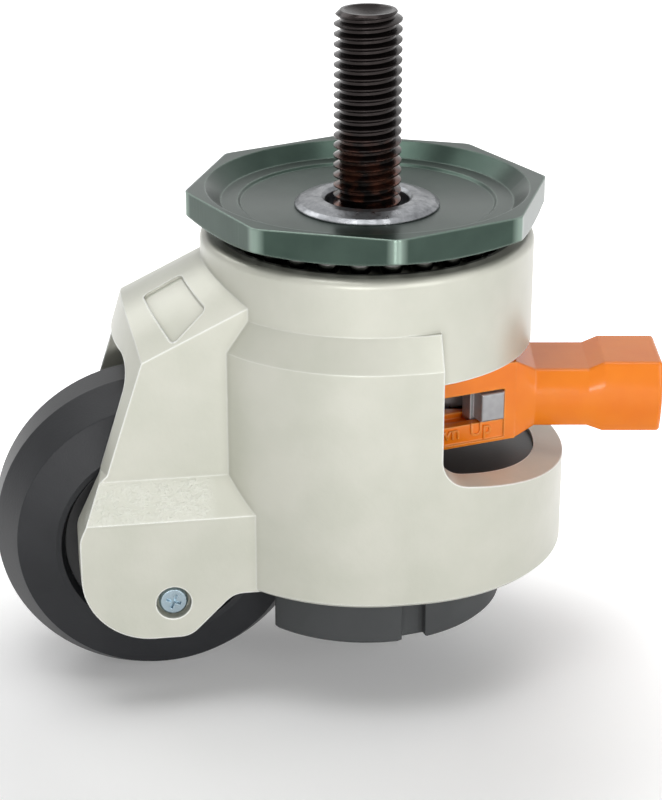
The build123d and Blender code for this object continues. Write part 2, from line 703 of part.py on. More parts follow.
def bearing(side):
    """Shielded ball bearing, its shields set back between the two rings."""
    near = BEARING_OUT - BEARING_WIDTH
    body = turned([
        (AXLE_R + SLIDING, near),
        (BEARING_R, near),
        (BEARING_R, BEARING_OUT),
        (BEARING_R - BEARING_RACE, BEARING_OUT),
        (BEARING_R - BEARING_RACE, BEARING_OUT - BEARING_SHIELD),
        (AXLE_R + BEARING_RACE, BEARING_OUT - BEARING_SHIELD),
        (AXLE_R + BEARING_RACE, BEARING_OUT),
        (AXLE_R + SLIDING, BEARING_OUT),
    ])
    return on_axle(Rot(0 if side < 0 else 180, 0, 0) * body)


def wheel_spacer():
    half = BEARING_OUT - BEARING_WIDTH - PRESSED
    return on_axle(ring(AXLE_R + SLIDING, AXLE_R + BEARING_RACE, -half, half))


# ---- drive nut and ratchet gear ------------------------------------------------------------
def drive_nut():
    return turned([
        (LEAD_R + SLIDING, DRIVE_BOTTOM),
        (DRIVE_R, DRIVE_BOTTOM),
        (DRIVE_R, DRIVE_TOP - DRIVE_FLANGE),
        (DRIVE_FLANGE_R, DRIVE_TOP - DRIVE_FLANGE),
        (DRIVE_FLANGE_R, DRIVE_TOP),
        (LEAD_R + SLIDING, DRIVE_TOP),
    ])


def ratchet_gear():
    pitch = 2 * pi / GEAR_TEETH
    plan = Circle(GEAR_ROOT_R)
    for index in range(GEAR_TEETH):
        middle = index * pitch
        root = GEAR_TOOTH_ROOT * pitch
        tip = GEAR_TOOTH_TIP * pitch
        inner = GEAR_ROOT_R - RUNNING
        tooth = [(inner, middle - root), (GEAR_TIP_R, middle - tip),
                 (GEAR_TIP_R, middle + tip), (inner, middle + root)]
        plan += make_face(Polyline([(r * cos(a), r * sin(a)) for r, a in tooth], close=True))
    plan -= Circle(DRIVE_R + PRESSED)
    return extrude(Pos(0, 0, GEAR_BOTTOM) * plan, GEAR_TOP - GEAR_BOTTOM)


# ---- lever ---------------------------------------------------------------------------------
def head_side(x):
    """Half-width of the head where its straight side passes x."""
    return (HEAD_R - x * sin(radians(HEAD_TAPER))) / cos(radians(HEAD_TAPER))


def head_plan():
    taper = radians(HEAD_TAPER)
    back = radians(HEAD_BACK_ANGLE)
    far = 3 * HEAD_R
    front = make_face(Polyline([
        (0, 0), (far * cos(back), -far * sin(back)), (far, -far), (far, far),
        (far * cos(back), far * sin(back)),
    ], close=True))
    touch = (HEAD_R * sin(taper), HEAD_R * cos(taper))
    end = (HEAD_END_X, head_side(HEAD_END_X))
    wedge = make_face(Polyline([
        (0, 0), (touch[0], -touch[1]), (end[0], -end[1]), end, touch,
    ], close=True))
    return (Circle(HEAD_R) & front) + Circle(HEAD_BACK_R) + wedge


def arm_section(x, half, bottom, top, bulge=ARM_BULGE, edge=ARM_EDGE_R):
    """Cross-section of the lever's arm at x: flat top and bottom, swelling sides."""
    middle = (bottom + top) / 2
    outline = make_face([
        Line((-half, top), (half, top)),
        ThreePointArc((half, top), (half + bulge, middle), (half, bottom)),
        Line((half, bottom), (-half, bottom)),
        ThreePointArc((-half, bottom), (-half - bulge, middle), (-half, top)),
    ])
    return Plane.YZ.offset(x) * fillet(outline.vertices(), edge)


def lever_arm():
    root_half = head_side(HEAD_END_X) - ROOT_BULGE
    root = arm_section(HEAD_END_X, root_half, LEVER_BOTTOM, LEVER_TOP, ROOT_BULGE, ROOT_BULGE)
    neck_start = arm_section(NECK_X, ARM_HALF, NECK_BOTTOM, NECK_TOP)
    neck_end = arm_section(GRIP_X, ARM_HALF, NECK_BOTTOM, NECK_TOP)
    grip_start = arm_section(GRIP_FULL_X, ARM_HALF, GRIP_BOTTOM, GRIP_TOP)
    arm = loft([root, neck_start], ruled=True)
    arm += extrude(neck_start, GRIP_X - NECK_X)
    arm += loft([neck_end, grip_start], ruled=True)
    grip = extrude(grip_start, LEVER_REACH - GRIP_FULL_X)
    grip = fillet(grip.faces().sort_by(Axis.X)[-1].edges(), GRIP_END_R)
    return arm + grip


def on_side(shape):
    """Place a shape drawn along the head's near side: x along it, y inwards."""
    taper = radians(HEAD_TAPER)
    return Pos(HEAD_R * sin(taper), -HEAD_R * cos(taper), 0) * Rot(0, 0, HEAD_TAPER) * shape


def selector_window():
    opening = block(WINDOW_START, WINDOW_END, -CUT, WINDOW_DEPTH, WINDOW_BOTTOM, WINDOW_TOP)
    opening += block(WINDOW_START - SELECTOR_FLANGE, WINDOW_END + SELECTOR_FLANGE, WINDOW_LIP,
                     SELECTOR_DEPTH + RUNNING, WINDOW_BOTTOM - SELECTOR_FLANGE,
                     WINDOW_TOP + SELECTOR_FLANGE)
    return on_side(opening)


def side_panel():
    """Recessed panel under the window, where the two directions are marked."""
    return on_side(block(PANEL_START, WINDOW_END, -CUT, PANEL_DEPTH, LEVER_BOTTOM + PANEL_RIM,
                         WINDOW_BOTTOM + CUT))


def cover_plan(margin):
    plan = Circle(GEAR_ROOM_R + COVER_LIP + margin)
    half = PAWL_POCKET_HALF + COVER_LIP + margin
    length = PAWL_POCKET_END + COVER_LIP + margin
    plan += Pos(length / 2, 0) * Rectangle(length, 2 * half)
    for x, y in cover_screw_places():
        plan += Pos(x, y) * Circle(COVER_SCREW_HEAD_R + COVER_SCREW_LAND + margin)
    return plan


def cover_screw_places():
    angle = radians(COVER_SCREW_ANGLE)
    x = COVER_SCREW_CIRCLE_R * cos(angle)
    y = COVER_SCREW_CIRCLE_R * sin(angle)
    return [(x, -y), (x, y)]


def lever():
    height = LEVER_TOP - LEVER_BOTTOM
    body = extrude(Pos(0, 0, LEVER_BOTTOM) * head_plan(), height) + lever_arm()
    ceiling = LEVER_TOP - HEAD_ROOF
    body -= rod(GEAR_ROOM_R, LEVER_BOTTOM - CUT, ceiling)
    body -= rod(DRIVE_R + RUNNING, LEVER_BOTTOM - CUT, LEVER_TOP + CUT)
    body -= block(0, PAWL_POCKET_END, -PAWL_POCKET_HALF, PAWL_POCKET_HALF,
                  LEVER_BOTTOM - CUT, ceiling)
    body -= extrude(Pos(0, 0, LEVER_BOTTOM - CUT) * cover_plan(PRESSED), COVER_THICK + CUT)
    body -= selector_window() + side_panel()
    body -= rod(PAWL_PIN_R + PRESSED, ceiling - CUT, ceiling + HEAD_ROOF / 2, PAWL_PIVOT_X)
    for x, y in cover_screw_places():
        body -= rod(COVER_SCREW_R + PRESSED, LEVER_BOTTOM, LEVER_BOTTOM + COVER_SCREW_LENGTH, x, y)
    return in_lever_frame(body)


def in_lever_frame(shape):
    return Rot(0, 0, LEVER_ANGLE) * shape


def lever_cover():
    body = extrude(Pos(0, 0, LEVER_BOTTOM) * cover_plan(0), COVER_THICK)
    body -= rod(DRIVE_R + RUNNING, LEVER_BOTTOM - CUT, LEVER_BOTTOM + COVER_THICK + CUT)
    body -= rod(PAWL_PIN_R + PRESSED, LEVER_BOTTOM + PAWL_PIN_FLOOR, COVER_TOP + CUT, PAWL_PIVOT_X)
    for x, y in cover_screw_places():
        body -= rod(COVER_SCREW_R + PRESSED, LEVER_BOTTOM - CUT, COVER_TOP + CUT, x, y)
        body -= rod(COVER_SCREW_HEAD_R + PRESSED, LEVER_BOTTOM - CUT,
                    LEVER_BOTTOM + COVER_SCREW_HEAD, x, y)
    return in_lever_frame(body)


def cover_screw(index):
    x, y = cover_screw_places()[index]
    body = rod(COVER_SCREW_HEAD_R, LEVER_BOTTOM, LEVER_BOTTOM + COVER_SCREW_HEAD, x, y)
    body += rod(COVER_SCREW_R, LEVER_BOTTOM, LEVER_BOTTOM + COVER_SCREW_LENGTH - RUNNING, x, y)
    slot = Box(2 * COVER_SCREW_HEAD_R + CUT, COVER_SCREW_SLOT, COVER_SCREW_HEAD)
    body -= Pos(x, y, LEVER_BOTTOM) * slot
    return in_lever_frame(body)


def pawl_pin():
    top = LEVER_TOP - HEAD_ROOF / 2 - PRESSED
    bottom = LEVER_BOTTOM + PAWL_PIN_FLOOR + PRESSED
    return in_lever_frame(rod(PAWL_PIN_R, bottom, top, PAWL_PIVOT_X))


def pawl():
    """Two-nosed pawl, tilted for raising; both noses are drawn clear of the gear's tips."""
    hub = Circle(PAWL_HUB_R)
    plan = Sketch()
    for side in (-1, 1):
        nose = Pos(PAWL_NOSE_X - PAWL_PIVOT_X, side * PAWL_NOSE_Y) * Circle(PAWL_NOSE_R)
        plan += make_hull((hub + nose).edges())
    plan -= Pos(-PAWL_PIVOT_X, 0) * Circle(GEAR_TIP_R + PAWL_STAND_OFF)
    plan -= Circle(PAWL_PIN_R + SLIDING)
    plate = extrude(Pos(0, 0, GEAR_BOTTOM) * plan, GEAR_TOP - GEAR_BOTTOM)
    return in_lever_frame(Pos(PAWL_PIVOT_X, 0) * Rot(0, 0, -PAWL_TILT) * plate)


def selector():
    """Sliding button in the side window, drawn at the end marked for raising."""
    end = WINDOW_END - SELECTOR_GAP
    start = end - SELECTOR_WIDTH
    wing = SELECTOR_FLANGE - RUNNING
    body = block(start, end, -SELECTOR_PROUD, SELECTOR_DEPTH, WINDOW_BOTTOM + RUNNING,
                 WINDOW_TOP - RUNNING)
    body = fillet(body.faces().sort_by(Axis.Y)[0].edges(), SELECTOR_EDGE_R)
    body += block(start - wing, end + wing, WINDOW_LIP + RUNNING, SELECTOR_DEPTH,
                  WINDOW_BOTTOM - wing, WINDOW_TOP + wing)
    return in_lever_frame(on_side(body))


# ---- foot ----------------------------------------------------------------------------------
def wheel_notch(bottom, top):
    """Relief on the wheel's side, so that the wheel can pass."""
    half = FORK_INNER + RUNNING
    return block(-2 * BODY_R, NOTCH_X, -half, half, bottom, top)


def lead_screw():
    body = rod(LEAD_R, FOOT_TOP, LEAD_TOP)
    body = chamfer(body.edges().group_by(Axis.Z)[-1], LEAD_CHAMFER)
    body &= block(-LEAD_R, LEAD_R, -FLATS_HALF, FLATS_HALF, FOOT_TOP, LEAD_TOP)
    body += rod(LEAD_R - SPIGOT_STEP, FOOT_TOP - FOOT_PLATE, FOOT_TOP)
    top = FOOT_TOP - FOOT_PLATE + FOOT_SCREW_LENGTH
    return body - rod(FOOT_SCREW_R + PRESSED, FOOT_TOP - FOOT_PLATE - CUT, top)


def foot_plate():
    body = rod(FOOT_PLATE_R, FOOT_TOP - FOOT_PLATE, FOOT_TOP)
    body -= wheel_notch(FOOT_TOP - FOOT_PLATE - CUT, FOOT_TOP + CUT)
    return body - rod(LEAD_R - SPIGOT_STEP + PRESSED, FOOT_TOP - FOOT_PLATE - CUT, FOOT_TOP + CUT)


def foot_pad():
    body = rod(PAD_R, PAD_BOTTOM, FOOT_TOP) - wheel_notch(PAD_BOTTOM - CUT, FOOT_TOP + CUT)
    corners = body.edges().filter_by(Axis.Z).sort_by(Axis.X)[:2]
    body = fillet(corners, PAD_CORNER_R)
    for turn in range(PAD_GROOVES - 1):
        groove = block(PAD_R - PAD_GROOVE_DEPTH, PAD_R + CUT, -PAD_GROOVE / 2, PAD_GROOVE / 2,
                       PAD_BOTTOM - CUT, FOOT_TOP + CUT)
        body -= Rot(0, 0, PAD_GROOVE_ANGLE + 360 * turn / PAD_GROOVES) * groove
    body = chamfer(body.edges().group_by(Axis.Z)[0], PAD_EDGE)
    body -= rod(FOOT_PLATE_R + PRESSED, FOOT_TOP - FOOT_PLATE, FOOT_TOP + CUT)
    return body - rod(FOOT_SCREW_HEAD_R + PRESSED, PAD_BOTTOM - CUT, FOOT_TOP - FOOT_PLATE)


def foot_screw():
    seat = FOOT_TOP - FOOT_PLATE
    body = rod(FOOT_SCREW_HEAD_R, seat - FOOT_SCREW_HEAD, seat)
    body += rod(FOOT_SCREW_R, seat - CUT, seat + FOOT_SCREW_LENGTH - FOOT_SCREW_SPARE)
    hexagon = RegularPolygon(FOOT_SCREW_HEX, 6, major_radius=False)
    return body - extrude(Pos(0, 0, seat - FOOT_SCREW_HEAD) * hexagon, FOOT_SCREW_HEX_DEPTH)


# ---- the pieces ----------------------------------------------------------------------------
pieces = {
    "stem": stem(),
    "top_plate": top_plate(),
    "kingpin": kingpin(),
    "kingpin_nut": kingpin_nut(),
    "stem_pin": stem_pin(),
    "balls": balls(),
    "housing": housing(),
    "dust_cover": dust_cover(),
    "swivel_washer": swivel_washer(),
    "thrust_washer": thrust_washer(),
    "lever_washer": lever_washer(),
    "axle": axle(),
    "axle_carrier_near": axle_carrier(),
    "axle_carrier_far": far_side(axle_carrier()),
    "axle_screw_near": axle_screw(),
    "axle_screw_far": far_side(axle_screw()),
    "tyre": tyre(),
    "wheel_hub": wheel_hub(),
    "bearing_near": bearing(-1),
    "bearing_far": bearing(1),
    "wheel_spacer": wheel_spacer(),
    "drive_nut": drive_nut(),
    "ratchet_gear": ratchet_gear(),
    "lever": lever(),
    "lever_cover": lever_cover(),
    "cover_screw_near": cover_screw(0),
    "cover_screw_far": cover_screw(1),
    "pawl_pin": pawl_pin(),
    "pawl": pawl(),
    "selector": selector(),
    "lead_screw": lead_screw(),
    "foot_plate": foot_plate(),
    "foot_pad": foot_pad(),
    "foot_screw": foot_screw(),
}
for node, shape in pieces.items():
    export_step(shape, f"parts/{node}.step")
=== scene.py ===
"""Looks of the levelling castor: finishes, threaded stem, lever marks, lamps, floor and camera."""
import math

import bmesh
import bpy
from mathutils import Matrix, Vector

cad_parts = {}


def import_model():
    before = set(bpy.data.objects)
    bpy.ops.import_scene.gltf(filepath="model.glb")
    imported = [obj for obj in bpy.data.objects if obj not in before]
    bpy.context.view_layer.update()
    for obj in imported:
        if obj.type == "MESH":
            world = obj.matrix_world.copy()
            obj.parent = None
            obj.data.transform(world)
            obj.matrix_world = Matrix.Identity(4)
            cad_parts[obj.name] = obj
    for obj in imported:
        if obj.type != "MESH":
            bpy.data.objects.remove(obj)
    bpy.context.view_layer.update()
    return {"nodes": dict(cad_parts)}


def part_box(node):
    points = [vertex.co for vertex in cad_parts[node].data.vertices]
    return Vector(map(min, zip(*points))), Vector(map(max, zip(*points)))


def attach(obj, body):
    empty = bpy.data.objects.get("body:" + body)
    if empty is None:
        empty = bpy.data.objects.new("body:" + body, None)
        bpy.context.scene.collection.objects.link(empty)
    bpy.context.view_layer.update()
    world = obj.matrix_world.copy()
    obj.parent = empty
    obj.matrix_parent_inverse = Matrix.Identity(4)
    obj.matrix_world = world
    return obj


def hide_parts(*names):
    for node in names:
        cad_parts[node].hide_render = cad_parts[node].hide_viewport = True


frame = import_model()
nodes = frame["nodes"]
MM = 0.001

# ---- view ----------------------------------------------------------------------------------
VIEW_YAW = math.radians(9.2)          # the camera stands this far round towards -X
VIEW_PITCH = math.radians(22.43)      # and looks down by this much
VIEW_DISTANCE = 325.26 * MM           # along the view, to the level of the origin
VIEW_RIGHT = -5.35 * MM               # from the origin to the view's centre line
VIEW_UP = -31.99 * MM
LENS = 99.0                           # focal length in mm
SENSOR = 36.0                         # the sensor's longer side in mm
CLIP_START = 0.01                     # nearest thing seen, in metres

# ---- lamps, floor and world ----------------------------------------------------------------
# azimuth (0 in front, positive to the right) and elevation in degrees, then metres and watts
#            azimuth  elevation  distance  width  height  power
LAMPS = {
    "key":       (26,    16,       0.9,     0.45,  0.55,   3.0),
    "strip":     (-16,   3,        0.9,     0.34,  0.06,   2.2),
    "side":      (65,    20,       1.0,     0.4,   0.7,    0.6),
    "corner":    (-65,   68,       0.9,     0.35,  0.35,   0.9),
    "top":       (0,     82,       0.9,     0.6,   0.5,    2.5),
    "back_left": (-140,  45,       1.0,     0.5,   0.5,    1.9),
    "back":      (150,   40,       1.2,     0.8,   0.5,    0.5),
}
LAMP_AIM = Vector((-0.005, 0.0, -0.035))
WHITE = (1.0, 1.0, 1.0, 1.0)
WORLD_LIGHT = 0.06                    # the world's strength as light; seen, it is 1
FLOOR_HALF = 3.0                      # half of the floor's side, in metres
FLOOR_COLOUR = (0.85, 0.85, 0.85, 1.0)
FLOOR_ROUGHNESS = 0.7
SHADE_CENTRE = (-0.02, -0.03)         # the floor glows least round this point, which paints a shadow under the object
SHADE_REACH = (0.03, 0.115)           # how far from it the glow starts to grow and is full
SHADE_GLOW = 0.17                     # strength of the least glow; the full one is 1

# ---- stem ----------------------------------------------------------------------------------
PITCH = 1.5 * MM
THREAD_DEPTH = 0.61 * PITCH
# one turn of the thread from crest to crest: (share of the pitch, share of the depth)
THREAD_PROFILE = ((0, 0), (1 / 16, 0), (7 / 32, 0.5), (3 / 8, 1),
                  (5 / 8, 1), (25 / 32, 0.5), (15 / 16, 0), (1, 0))
FIRST_CREST = 24.34 * MM              # height of the uppermost crest on the near side
STEM_CHAMFER = 0.9 * MM
RELIEF = 0.8 * MM                     # the shank in the kingpin is this much thinner
MOUTH_DEPTH = 3.1 * MM                # from the kingpin's top to the end of the thread
END_RING = 0.5 * MM                   # width of the flat ring round the stem's end
LIP_WIDTH = 0.4 * MM                  # rounding from that ring into the centre hole
LIP_DEPTH = 0.25 * MM
HOLE_R = 0.6 * MM                     # flat bottom of the centre hole
HOLE_DEPTH = 1.2 * MM
STEM_AROUND = 96                      # points round the stem
SHARP_ANGLE = math.radians(28)
MERGE = 1e-6                          # points closer than this become one

# ---- lever marks ---------------------------------------------------------------------------
LEVER_ANGLE = math.radians(-9.2)
HEAD_R = 16.0 * MM
HEAD_TAPER = math.radians(23.0)
EMBOSS = 0.22 * MM                    # how far the marks stand out of their panel
PANEL_DEPTH = 0.3 * MM                # how far the panel lies inside the head's side
MARK_SIZE = 3.0 * MM
MARK_ROUNDING = 0.04 * MM
MARK_HEIGHT = -36.1 * MM
MARKS = {"mark_up": ("Up", 11.8 * MM), "mark_down": ("Down", 4.6 * MM)}

# ---- masks on the casting and the plate: where each is 0 and where it is 1 -------------------
RAMP_FOOT = (-44.2 * MM, -43.4 * MM)  # heights of the leg's rough ramp
RAMP_TOP = (-38.4 * MM, -39.2 * MM)
RAMP_SIDE = (14.9 * MM, 15.3 * MM)    # how far it is from the middle plane
RAMP_LEE = (-25.0 * MM, -26.5 * MM)   # how far it is towards the wheel
RACE_TOP = (-7.7 * MM, -7.3 * MM)     # the turret's top, inside the balls' ring, where dark shade is painted
RACE_R = (22.5 * MM, 22.2 * MM)
# the plate's corners, where a highlight is painted
PLATE_CORNER_R = (26.45 * MM, 26.9 * MM)
STEM_BROWN = (9 * MM, -2 * MM)

BEVEL_SAMPLES = 6
OPEN_SAMPLES = 4


# ---- small tools ---------------------------------------------------------------------------
def new_mesh(name, verts, faces, smooth=True):
    mesh = bpy.data.meshes.new(name)
    mesh.from_pydata(verts, [], faces)
    mesh.validate()
    obj = bpy.data.objects.new(name, mesh)
    bpy.context.scene.collection.objects.link(obj)
    for polygon in mesh.polygons:
        polygon.use_smooth = smooth
    return obj


def tidy_mesh(obj, distance):
    """Merge doubled points and turn every face outwards."""
    work = bmesh.new()
    work.from_mesh(obj.data)
    bmesh.ops.remove_doubles(work, verts=work.verts, dist=distance)
    bmesh.ops.dissolve_degenerate(work, edges=work.edges, dist=distance)
    bmesh.ops.recalc_face_normals(work, faces=work.faces)
    work.to_mesh(obj.data)
    work.free()


def paint(names, material):
    """Give CAD nodes a material."""
    for name in names:
        mesh = nodes[name].data
        mesh.materials.clear()
        mesh.materials.append(material)


# ---- material building ---------------------------------------------------------------------
class Finish:
    """A node material being put together, in object coordinates."""

    def __init__(self, name):
        self.material = bpy.data.materials.new(name)
        self.material.use_nodes = True
        self.tree = self.material.node_tree
        self.shader = self.tree.nodes["Principled BSDF"]
        self.place = self.add("ShaderNodeTexCoord").outputs["Object"]

    def add(self, kind, **values):
        node = self.tree.nodes.new(kind)
        for key, value in values.items():
            setattr(node, key, value)
        return node

    def join(self, source, target):
        self.tree.links.new(source, target)

    def set(self, **values):
        """Set constants on the shader's own sockets."""
        for key, value in values.items():
            self.shader.inputs[key.replace("_", " ")].default_value = value

    def noise(self, size, detail=3.0, roughness=0.5):
        """Noise whose features are about size metres across."""
        node = self.add("ShaderNodeTexNoise")
        node.inputs["Scale"].default_value = 1.0 / size
        node.inputs["Detail"].default_value = detail
        node.inputs["Roughness"].default_value = roughness
        self.join(self.place, node.inputs["Vector"])
        return node.outputs["Fac"]

    def rings(self, size, detail=3.0):
        """Noise in rings round the swivel axis."""
        node = self.add("ShaderNodeTexNoise", noise_dimensions="1D")
        node.inputs["Scale"].default_value = 1.0 / size
        node.inputs["Detail"].default_value = detail
        self.join(self.radius(), node.inputs["W"])
        return node.outputs["Fac"]

    def ramp(self, value, low, high, out_low=0.0, out_high=1.0):
        """Map low..high to out_low..out_high, and stay there outside."""
        node = self.add("ShaderNodeMapRange")
        node.inputs["From Min"].default_value = low
        node.inputs["From Max"].default_value = high
        node.inputs["To Min"].default_value = out_low
        node.inputs["To Max"].default_value = out_high
        self.join(value, node.inputs["Value"])
        return node.outputs["Result"]

    def math(self, operation, first, second=None):
        """A Math node on a socket and, where it takes two, a socket or a number."""
        node = self.add("ShaderNodeMath", operation=operation)
        self.join(first, node.inputs[0])
        if isinstance(second, float):
            node.inputs[1].default_value = second
        elif second is not None:
            self.join(second, node.inputs[1])
        return node.outputs["Value"]

    def product(self, first, *others):
        for other in others:
            first = self.math("MULTIPLY", first, other)
        return first

    def blend(self, factor, first, second):
        """Mix two colours, each a triple or a socket."""
        node = self.add("ShaderNodeMix", data_type="RGBA")
        self.join(factor, node.inputs[0])
        for socket, colour in ((node.inputs[6], first), (node.inputs[7], second)):
            if isinstance(colour, tuple):
                socket.default_value = (*colour, 1.0)
            else:
                self.join(colour, socket)
        return node.outputs[2]

    def coordinate(self, axis):
        node = self.add("ShaderNodeSeparateXYZ")
        self.join(self.place, node.inputs["Vector"])
        return node.outputs[axis]

    def radius(self):
        """Distance from the swivel axis."""
        flat = self.add("ShaderNodeVectorMath", operation="MULTIPLY")
        flat.inputs[1].default_value = (1.0, 1.0, 0.0)
        length = self.add("ShaderNodeVectorMath", operation="LENGTH")
        self.join(self.place, flat.inputs[0])
        self.join(flat.outputs["Vector"], length.inputs[0])
        return length.outputs["Value"]

    def colour(self, source):
        self.join(source, self.shader.inputs["Base Color"])

    def roughness(self, source):
        self.join(source, self.shader.inputs["Roughness"])

    def surface(self, height, depth, soft_edge=0.0):
        """Bump of the given depth in metres, over edges rounded by soft_edge."""
        bump = self.add("ShaderNodeBump")
        bump.inputs["Strength"].default_value = 1.0
        bump.inputs["Distance"].default_value = depth
        self.join(height, bump.inputs["Height"])
        if soft_edge:
            self.join(self.rounded(soft_edge), bump.inputs["Normal"])
        self.join(bump.outputs["Normal"], self.shader.inputs["Normal"])

    def rounded(self, radius):
        """The normal, as if edges had this radius."""
        bevel = self.add("ShaderNodeBevel", samples=BEVEL_SAMPLES)
        bevel.inputs["Radius"].default_value = radius
        return bevel.outputs["Normal"]

    def open_air(self, reach):
        """1 in the open, less in corners and grooves."""
        node = self.add("ShaderNodeAmbientOcclusion", samples=OPEN_SAMPLES)
        node.inputs["Distance"].default_value = reach
        return node.outputs["AO"]

    def edges(self, width, start=0.97, full=0.85):
        """1 on edges, where the finishes paint highlights, 0 elsewhere.

        start and full are cosines of the turn between the rounded and the true normal.
        """
        rounded = self.rounded(width)
        geometry = self.add("ShaderNodeNewGeometry")
        dot = self.add("ShaderNodeVectorMath", operation="DOT_PRODUCT")
        self.join(rounded, dot.inputs[0])
        self.join(geometry.outputs["Normal"], dot.inputs[1])
        return self.ramp(dot.outputs["Value"], start, full)


def srgb(red, green, blue):
    """Linear colour from 0-255 display values."""
    def linear(value):
        share = value / 255
        return share / 12.92 if share <= 0.04045 else ((share + 0.055) / 1.055) ** 2.4
    return (linear(red), linear(green), linear(blue))


# ---- finishes ------------------------------------------------------------------------------
def painted_casting():
    """Pearly ivory coat, rough from the mould on the ramp, with painted highlights on open edges,
    painted shade in corners and a dark painted shade round the balls.
    """
    f = Finish("painted_casting")
    patches = f.ramp(f.noise(9 * MM, detail=4.0), 0.35, 0.65)
    ivory = f.blend(patches, srgb(195, 196, 183), srgb(202, 202, 190))

    height = f.coordinate("Z")
    side = f.math("ABSOLUTE", f.coordinate("Y"))
    skin = f.ramp(f.noise(1.6 * MM, detail=4.0, roughness=0.7), 0.45, 0.6)
    rough = f.product(f.ramp(height, *RAMP_FOOT), f.ramp(height, *RAMP_TOP),
                      f.ramp(side, *RAMP_SIDE), f.ramp(f.coordinate("X"), *RAMP_LEE),
                      f.ramp(skin, 0.0, 1.0, 0.4, 1.0))
    coat = f.blend(f.product(rough, 0.4), ivory, srgb(222, 224, 216))

    clear = f.ramp(f.open_air(1.5 * MM), 0.7, 0.95)
    # near-white on open edges: a painted highlight
    painted_edge_highlight = f.product(f.edges(0.45 * MM, start=0.99, full=0.92), clear, 0.9)
    coat = f.blend(painted_edge_highlight, coat, srgb(252, 253, 250))
    # darker where little open air reaches, in corners and recesses: painted shade
    painted_corner_shade = f.ramp(clear, 0.0, 1.0, 0.3, 0.0)
    coat = f.blend(painted_corner_shade, coat, srgb(120, 119, 106))
    # dark on the turret's top inside the balls' ring: painted shade under the plate
    painted_race_shade = f.product(f.ramp(height, *RACE_TOP), f.ramp(f.radius(), *RACE_R))
    f.colour(f.blend(painted_race_shade, coat, srgb(62, 62, 56)))

    peel = f.noise(1.1 * MM, detail=2.0)
    grit = f.noise(0.45 * MM, roughness=0.7)
    relief = f.math("ADD", f.product(peel, 0.22), f.product(grit, rough, 2.2))
    f.surface(relief, depth=0.12 * MM, soft_edge=0.35 * MM)
    f.set(Roughness=0.38, Metallic=0.2, Coat_Weight=0.25, Coat_Roughness=0.3)
    return f.material


def orange_plastic():
    """Glossy moulded nylon, with paler edges that paint a highlight."""
    f = Finish("orange_plastic")
    patches = f.ramp(f.noise(6 * MM), 0.3, 0.7)
    plain = f.blend(patches, srgb(240, 124, 14), srgb(245, 134, 24))
    # paler edges: a painted highlight
    f.colour(f.blend(f.edges(0.45 * MM), plain, srgb(253, 172, 84)))
    waves = f.noise(2.4 * MM, detail=2.0)
    fine = f.noise(0.5 * MM)
    f.surface(f.math("ADD", waves, f.product(fine, 0.25)), depth=0.025 * MM, soft_edge=0.35 * MM)
    f.set(Roughness=0.18, Specular_IOR_Level=0.36)
    return f.material


def plated_steel():
    """Dark green-grey plate, turned in rings, with painted highlights on its edges and corners."""
    f = Finish("plated_steel")
    cloud = f.ramp(f.noise(7 * MM, detail=4.0), 0.3, 0.7)
    tone = f.blend(cloud, srgb(50, 63, 57), srgb(60, 74, 67))
    corners = f.ramp(f.radius(), *PLATE_CORNER_R)
    # paler on edges and corners: a painted highlight
    painted_corner_highlight = f.math("MAXIMUM", f.edges(0.6 * MM), corners)
    f.colour(f.blend(painted_corner_highlight, tone, srgb(122, 138, 129)))
    f.surface(f.rings(0.22 * MM), depth=0.012 * MM, soft_edge=0.45 * MM)
    turned = f.add("ShaderNodeTangent", direction_type="RADIAL", axis="Z")
    f.join(turned.outputs["Tangent"], f.shader.inputs["Tangent"])
    f.set(Metallic=0.95, Roughness=0.28, Anisotropic=0.8, Anisotropic_Rotation=0.25)
    return f.material


def steel(name, tone, roughness, grain=0.4 * MM, depth=0.01 * MM):
    f = Finish(name)
    cloud = f.ramp(f.noise(4 * MM, detail=4.0), 0.3, 0.7)
    darker = tuple(0.8 * c for c in tone)
    f.colour(f.blend(cloud, darker, tone))
    f.surface(f.noise(grain), depth, soft_edge=0.12 * MM)
    f.roughness(f.ramp(f.noise(2 * MM), 0.2, 0.8, roughness - 0.06, roughness + 0.08))
    f.set(Metallic=1.0)
    return f.material


def forged_steel():
    """The kingpin's flange: peened grey steel with oily spots."""
    f = Finish("forged_steel")
    spots = f.ramp(f.noise(1.5 * MM, detail=5.0, roughness=0.65), 0.3, 0.66)
    f.colour(f.blend(spots, srgb(104, 106, 109), srgb(146, 148, 151)))
    peening = f.noise(0.9 * MM, detail=4.0, roughness=0.6)
    f.surface(peening, depth=0.06 * MM, soft_edge=0.3 * MM)
    f.roughness(f.ramp(spots, 0.0, 1.0, 0.42, 0.26))
    f.set(Metallic=1.0)
    return f.material


def lacquered():
    """Silver selector with lighter edges that paint a highlight."""
    f = Finish("lacquered")
    cloud = f.ramp(f.noise(1.2 * MM), 0.3, 0.7)
    plain = f.blend(cloud, srgb(146, 146, 148), srgb(160, 160, 162))
    # lighter edges: a painted highlight
    f.colour(f.blend(f.edges(0.35 * MM), plain, srgb(226, 227, 230)))
    f.surface(f.noise(0.3 * MM), depth=0.01 * MM, soft_edge=0.25 * MM)
    f.set(Metallic=0.35, Roughness=0.4)
    return f.material


def oxide_steel():
    """Black oxide with a brown cast low on the stem."""
    f = Finish("oxide_steel")
    low = f.ramp(f.coordinate("Z"), *STEM_BROWN)
    spots = f.ramp(f.noise(2.2 * MM, detail=4.0), 0.42, 0.62)
    f.colour(f.blend(f.product(low, spots), srgb(36, 31, 30), srgb(112, 66, 50)))
    f.surface(f.noise(0.3 * MM), depth=0.02 * MM)
    f.set(Metallic=0.8, Roughness=0.22)
    return f.material


